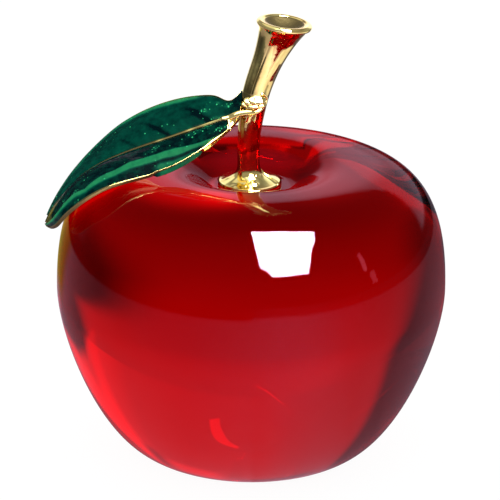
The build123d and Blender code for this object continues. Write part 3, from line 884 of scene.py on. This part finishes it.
def glowNodes(nodes, links):
    # emission whose strength is the through value for refracted rays and the mirror value for the rest
    light = nodes.new("ShaderNodeLightPath")
    pick = nodes.new("ShaderNodeMix")
    links.new(light.outputs["Is Transmission Ray"], pick.inputs["Factor"])
    for name, socket in (("mirror", "A"), ("through", "B")):
        value = nodes.new("ShaderNodeAttribute")
        value.attribute_name = name
        links.new(value.outputs["Fac"], pick.inputs[socket])
    # rays that were thrown about inside the crystal many times meet at least a middling glow
    deep = nodes.new("ShaderNodeMath")
    deep.operation = "GREATER_THAN"
    deep.inputs[1].default_value = 5.5
    links.new(light.outputs["Ray Depth"], deep.inputs[0])
    least = nodes.new("ShaderNodeMath")
    least.operation = "MULTIPLY"
    least.inputs[1].default_value = studio["deepGlow"]
    links.new(deep.outputs[0], least.inputs[0])
    most = nodes.new("ShaderNodeMath")
    most.operation = "MAXIMUM"
    links.new(least.outputs[0], most.inputs[0])
    links.new(value.outputs["Fac"], most.inputs[1])
    links.new(most.outputs[0], pick.inputs["B"])
    tint = nodes.new("ShaderNodeMix")
    tint.data_type = "RGBA"
    colour = nodes.new("ShaderNodeAttribute")
    colour.attribute_name = "tint"
    links.new(light.outputs["Is Transmission Ray"], tint.inputs["Factor"])
    links.new(colour.outputs["Color"], tint.inputs["A"])
    tint.inputs["B"].default_value = (1, 1, 1, 1)
    glow = nodes.new("ShaderNodeEmission")
    links.new(pick.outputs["Result"], glow.inputs["Strength"])
    links.new(tint.outputs["Result"], glow.inputs["Color"])
    return light, glow


def polarStage(name, points, through, mirror, tint, material, wrap=True):
    # a polar sheet of the studio, with both brightness values and the mirrored tint on its points
    rows, cols = points.shape[:2]
    mesh = bpy.data.meshes.new(name)
    mesh.from_pydata(points.reshape(-1, 3).tolist(), [], gridFaces(rows, cols, wrap).tolist())
    for key, values in (("through", through), ("mirror", mirror)):
        mesh.attributes.new(key, "FLOAT", "POINT").data.foreach_set("value", values.reshape(-1).astype(np.float32))
    colours = np.ones((rows, cols, 4), np.float32)
    colours[..., :3] = tint
    mesh.attributes.new("tint", "FLOAT_COLOR", "POINT").data.foreach_set("color", colours.reshape(-1))
    mesh.materials.append(material)
    sheet = bpy.data.objects.new(name, mesh)
    bpy.context.scene.collection.objects.link(sheet)
    return sheet


def dome(name, radius, centre, lowest, material, glow):
    # a sphere of azimuth by height round the studio that only mirrored and refracted rays see
    azimuth = np.arange(-180, 180, 2.0)
    height = np.linspace(lowest, 90, 73)
    through, mirror, tint = glow(azimuth[None, :] + 0 * height[:, None], height[:, None] + 0 * azimuth[None, :])
    a, e = np.radians(azimuth)[None, :], np.radians(height)[:, None]
    points = radius * np.stack([np.sin(a) * np.cos(e), np.cos(a) * np.cos(e), np.sin(e) + 0 * a], -1)
    sheet = polarStage(name, points + np.array([0, 0, centre]), through, mirror, tint, material)
    sheet.visible_camera = sheet.visible_diffuse = sheet.visible_shadow = False
    return sheet


def clearGlow(name, strength=None):
    # a material that adds light to what lies behind it; with no strength it takes the sheet's own values
    mat, nodes, links, shader = newMaterial(name)
    nodes.remove(shader)
    if strength is None:
        light, glow = glowNodes(nodes, links)
    else:
        glow = nodes.new("ShaderNodeEmission")
        glow.inputs["Strength"].default_value = strength
    both = nodes.new("ShaderNodeAddShader")
    links.new(glow.outputs[0], both.inputs[0])
    links.new(nodes.new("ShaderNodeBsdfTransparent").outputs[0], both.inputs[1])
    links.new(both.outputs[0], nodes["Material Output"].inputs["Surface"])
    mat.cycles.emission_sampling = "NONE"
    return mat, nodes, links, glow


def walls(metal):
    # the studio's walls, and close round the apple a clear sheet whose glow only reaches metal
    k = studio
    mat, nodes, links, shader = newMaterial("studio walls")
    nodes.remove(shader)
    light, glow = glowNodes(nodes, links)
    links.new(glow.outputs[0], nodes["Material Output"].inputs["Surface"])
    mat.cycles.emission_sampling = "NONE"
    dome("studioWalls", k["wallRadius"], 0, k["wallLow"], mat, wallGlow)

    def roomGlow(azimuth, height):
        paper = between(azimuth, -34, 40, 6) * between(height, -10, 40, 5)
        right = between(azimuth % 360, 64, 214, 10) * (1 - 0.3 * smoothStep(125, 150, azimuth % 360)) * (1 - smoothStep(-2, 10, height))
        top = smoothStep(50, 62, height) * (0.25 + 0.35 * between(azimuth, -150, -5, 10) + 1.3 * between(azimuth % 360, 186, 216, 6))
        left = 0.12 * between(azimuth, -120, -30, 12) * (1 - smoothStep(-2, 10, height))
        sky = smoothStep(6, 18, height) * (1 - smoothStep(45, 60, height))
        return 0 * azimuth, k["room"] + left + k["roomSky"] * sky + k["roomPaper"] * paper + k["roomRight"] * right + k["roomTop"] * top, (1, 1, 1)

    room = dome("roomGlow", k["roomRadius"], k["roomHeight"], -60, clearGlow("room glow")[0], roomGlow)
    room.visible_transmission = False
    linkTo(room, metal)


def backLamp(body):
    # a curved clear sheet close behind the crystal's right, seen only through it: brighter to the right and upwards
    azimuth, height = np.linspace(18, 60, 43)[None, :], np.linspace(6, 96, 46)[:, None]
    low = np.interp(azimuth, (20, 26, 32, 38, 50), (4, 12, 25, 30, 32))
    strength = np.interp(azimuth, (24, 27, 29, 35, 41, 50), (0, 0.45, 0.8, 1.45, 1.85, 1.9)) * smoothStep(low - 2, low + 3, height)
    strength = strength * np.interp(height, (30, 45, 70), (0.85, 1.0, 1.1)) * (1 - smoothStep(82, 92, height)) * (1 - smoothStep(52, 58, azimuth))
    a, reach = np.radians(azimuth), mm * studio["lampRadius"]
    points = np.stack([reach * np.sin(a) + 0 * height, reach * np.cos(a) + 0 * height, mm * height + 0 * a], -1)
    sheet = polarStage("backLamp", points, strength, 0 * strength, (1, 1, 1), clearGlow("back lamp")[0], wrap=False)
    sheet.visible_camera = sheet.visible_diffuse = sheet.visible_shadow = sheet.visible_glossy = False
    linkTo(sheet, [body])


def panesAndSlivers(body):
    # each pane is a flat clear glowing sheet square to its middle direction; each sliver a strip between two smooth edges
    k = studio
    for i, (corners, strength) in enumerate(k["panes"]):
        corners = unit(np.array(corners))
        middle = unit(corners.mean(0))
        points = (1.02 * k["panelFar"] * corners / (corners @ middle)[:, None])[[0, 3, 1, 2]].reshape(2, 2, 3)
        pane = polarStage(f"pane{i}", points, np.zeros((2, 2)), np.full((2, 2), strength), k["paneTint"], clearGlow(f"pane {i}")[0], wrap=False)
        pane.visible_camera = pane.visible_diffuse = pane.visible_transmission = pane.visible_shadow = False
        linkTo(pane, [body])
    for i, (outer, inner, strength) in enumerate(k["slivers"]):
        edges = np.stack([smoothPath(np.array(edge), 24) for edge in (outer, inner)], 1)
        a, reach = np.radians(edges[..., 0]), mm * k["sliverRadius"]
        points = np.stack([reach * np.sin(a), reach * np.cos(a), mm * edges[..., 1]], -1)
        sliver = polarStage(f"sliver{i}", points, np.full((24, 2), strength), np.zeros((24, 2)), (1, 1, 1), clearGlow(f"sliver {i}")[0], wrap=False)
        sliver.visible_camera = sliver.visible_diffuse = sliver.visible_glossy = sliver.visible_shadow = False
        linkTo(sliver, [body])


def table():
    # a round pale table: white to the camera but for the apple's soft shadow
    k = studio
    azimuth = np.arange(-180, 180, 2.0)
    radius = np.concatenate([np.linspace(0.5, 60, 60), np.geomspace(63, 1000 * k["tableRadius"], 50)])
    through, mirror, tint = tableGlow(azimuth[None, :] + 0 * radius[:, None], radius[:, None] + 0 * azimuth[None, :])
    a, r = np.radians(azimuth)[None, :], mm * radius[:, None]
    points = np.stack([r * np.sin(a), r * np.cos(a), np.full((len(radius), len(azimuth)), -0.0002)], -1)
    mat, nodes, links, shader = newMaterial("pale table")
    shader.inputs["Base Color"].default_value = (*k["tableColour"], 1)
    shader.inputs["Roughness"].default_value = 0.6
    shader.inputs["Specular IOR Level"].default_value = 0.0
    light, glow = glowNodes(nodes, links)
    white = nodes.new("ShaderNodeEmission")
    white.inputs["Strength"].default_value = k["white"]
    first = nodes.new("ShaderNodeMixShader")
    share = nodes.new("ShaderNodeMath")
    share.operation = "MULTIPLY"
    links.new(light.outputs["Is Camera Ray"], share.inputs[0])
    share.inputs[1].default_value = k["tableWhite"]
    links.new(share.outputs[0], first.inputs["Fac"])
    links.new(shader.outputs[0], first.inputs[1])
    links.new(white.outputs[0], first.inputs[2])
    second = nodes.new("ShaderNodeMixShader")
    either = nodes.new("ShaderNodeMath")
    either.operation = "MAXIMUM"
    links.new(light.outputs["Is Glossy Ray"], either.inputs[0])
    links.new(light.outputs["Is Transmission Ray"], either.inputs[1])
    links.new(either.outputs[0], second.inputs["Fac"])
    links.new(first.outputs[0], second.inputs[1])
    links.new(glow.outputs[0], second.inputs[2])
    links.new(second.outputs[0], nodes["Material Output"].inputs["Surface"])
    mat.cycles.emission_sampling = "NONE"
    polarStage("table", points, through, mirror, tint, mat)


def world():
    # white to the camera, a plain even light to rough surfaces
    w = bpy.data.worlds.new("studio")
    bpy.context.scene.world = w
    w.use_nodes = True
    nodes, links = w.node_tree.nodes, w.node_tree.links
    back = nodes["Background"]
    light = nodes.new("ShaderNodeLightPath")
    pick = nodes.new("ShaderNodeMix")
    links.new(light.outputs["Is Camera Ray"], pick.inputs["Factor"])
    pick.inputs["A"].default_value = studio["fill"]
    pick.inputs["B"].default_value = studio["white"]
    links.new(pick.outputs["Result"], back.inputs["Strength"])
    back.inputs["Color"].default_value = (1, 1, 1, 1)


def softPanels(body, metal, glaze):
    # one many-cornered bright panel, overhead and in front, square to its middle direction, as three clear glowing
    # sheets behind each other: for the metal, the enamel and the crystal
    k = studio
    corners = unit(np.array(k["panelCorners"]))
    strapCorners = unit(np.array(k["strapCorners"]))
    parts = ((corners, 1.0, "panelOnMetal", metal), (corners, 1.01, "panelOnEnamel", glaze), (corners, 1.02, "panelOnCrystal", [body]),
             (strapCorners, 1.03, "panelOnStrap", metal[3:4]))
    for corners, grow, name, receivers in parts:
        middle = unit(corners.mean(0))
        points = k["panelFar"] * corners / (corners @ middle)[:, None]
        mat, nodes, links, glow = clearGlow(name, k[name])
        if receivers == [body]:
            light = nodes.new("ShaderNodeLightPath")  # only its first mirror image, not those that gold throws on
            first = nodes.new("ShaderNodeMath")
            first.operation = "LESS_THAN"
            first.inputs[1].default_value = 1.5
            links.new(light.outputs["Ray Depth"], first.inputs[0])
            share = nodes.new("ShaderNodeMath")
            share.operation = "MULTIPLY"
            share.inputs[1].default_value = k[name]
            links.new(first.outputs[0], share.inputs[0])
            links.new(share.outputs[0], glow.inputs["Strength"])
        else:
            mat.cycles.emission_sampling = "AUTO"
        mesh = bpy.data.meshes.new(name)
        mesh.from_pydata((points * grow).tolist(), [], [list(range(len(points)))])
        mesh.materials.append(mat)
        panel = bpy.data.objects.new(name, mesh)
        bpy.context.scene.collection.objects.link(panel)
        panel.visible_camera = panel.visible_diffuse = panel.visible_transmission = panel.visible_shadow = False
        linkTo(panel, receivers)


view = {
    "target": (0, 0, 0.032), "elevation": 21.7, "distance": 0.612, "lens": 213.3, "roll": 0.55,
    "aimUp": 0.0094, "aimRight": -0.00029,
}


def camera():
    # stands at the photograph's height and looks a little above the apple's middle
    e = math.radians(view["elevation"])
    back = Vector((0, -math.cos(e), math.sin(e)))
    up = Vector((0, math.sin(e), math.cos(e)))
    place = Vector(view["target"]) + back * view["distance"]
    aim = Vector(view["target"]) + up * view["aimUp"] + Vector((1, 0, 0)) * view["aimRight"]
    data = bpy.data.cameras.new("camera")
    data.lens = view["lens"]
    data.sensor_width = 36
    data.clip_start, data.clip_end = 0.01, 20
    eye = bpy.data.objects.new("camera", data)
    turn = (place - aim).to_track_quat("Z", "Y").to_matrix().to_4x4() @ Matrix.Rotation(math.radians(view["roll"]), 4, "Z")
    eye.matrix_world = Matrix.Translation(place) @ turn
    bpy.context.scene.collection.objects.link(eye)
    bpy.context.scene.camera = eye


body = crystalBody()
metal = [stemCasting(), footBlobs(), leafCasting(), claspScroll(), frame["nodes"]["clasp_solder"]]
glaze = [enamelFill("enamelFar", "far_enamel", 1), enamelFill("enamelNear", "near_enamel", -1)]
thinFilms()
world()
walls(metal)
backLamp(body)
panesAndSlivers(body)
table()
softPanels(body, metal, glaze)
camera()
bpy.context.scene.view_settings.view_transform = "Standard"
cycles = bpy.context.scene.cycles
cycles.max_bounces = cycles.glossy_bounces = cycles.transmission_bounces = 24  # light runs round inside the crystal
